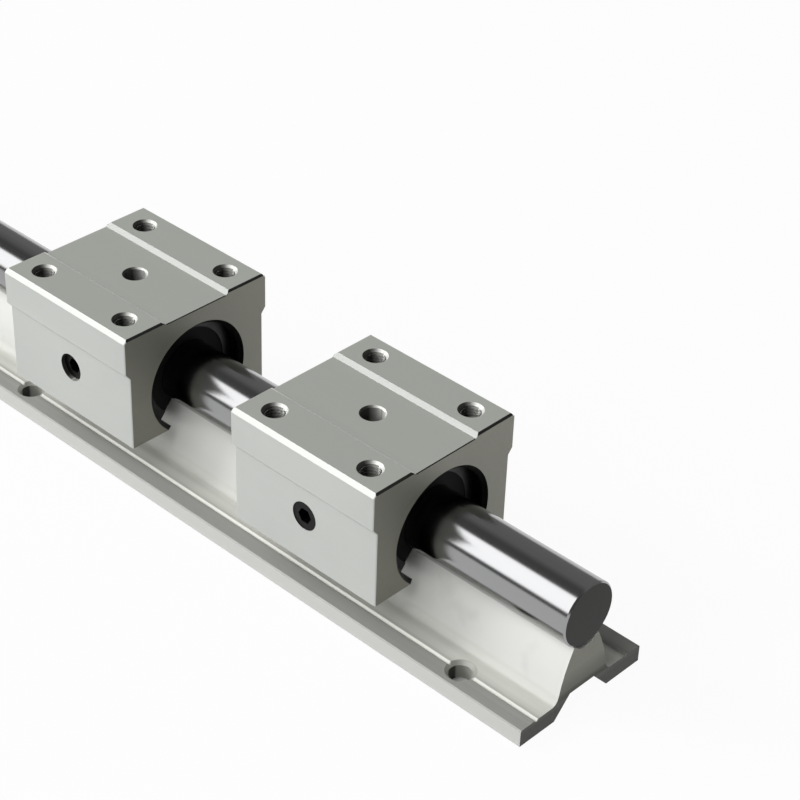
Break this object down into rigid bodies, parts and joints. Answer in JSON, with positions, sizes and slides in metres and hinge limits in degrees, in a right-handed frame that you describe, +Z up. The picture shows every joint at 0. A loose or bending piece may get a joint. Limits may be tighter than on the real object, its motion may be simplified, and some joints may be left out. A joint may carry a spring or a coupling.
{
  "type": "supported round rail",
  "caption": "Round steel shaft held along its length on an extruded support with drilled flanges, carrying open linear bearing carriages.",
  "frame": {"origin": "middle of the rail's flat underside, centred on the outline of the whole part", "axes": "+X along the shaft towards the end that the carriages stand near, +Y across the rail away from the carriages' set screws, +Z up from the base through the shaft's axis"},
  "size_m": [0.5, 0.045, 0.045],
  "materials": {
    "rail_aluminium": "pale satin extruded aluminium",
    "carriage_aluminium": "satin machined aluminium",
    "shaft_chrome": "ground and polished, hard chrome",
    "bearing_steel": "ground bearing steel",
    "cage_plastic": "moulded black plastic",
    "seal_rubber": "matte black rubber",
    "black_steel": "black oxide"
  },
  "bodies": {
    "rail": {"support_rail": "rail_aluminium", "round_shaft": "shaft_chrome", "shaft_screw_1": "black_steel", "shaft_screw_2": "black_steel", "shaft_screw_3": "black_steel", "shaft_screw_4": "black_steel"},
    "front_carriage": {"front_housing": "carriage_aluminium", "front_bearing_sleeve": "bearing_steel", "front_ball_cage": "cage_plastic", "front_outer_seal": "seal_rubber", "front_inner_seal": "seal_rubber", "front_set_screw": "black_steel"},
    "rear_carriage": {"rear_housing": "carriage_aluminium", "rear_bearing_sleeve": "bearing_steel", "rear_ball_cage": "cage_plastic", "rear_outer_seal": "seal_rubber", "rear_inner_seal": "seal_rubber", "rear_set_screw": "black_steel"}
  },
  "joints": [
    {"name": "front_carriage_slide", "type": "slide", "parent": "rail", "child": "front_carriage", "axis": [1, 0, 0], "range_m": [-0.018, 0.0425]},
    {"name": "rear_carriage_slide", "type": "slide", "parent": "rail", "child": "rear_carriage", "axis": [1, 0, 0], "range_m": [-0.3309, 0.018]}
  ]
}
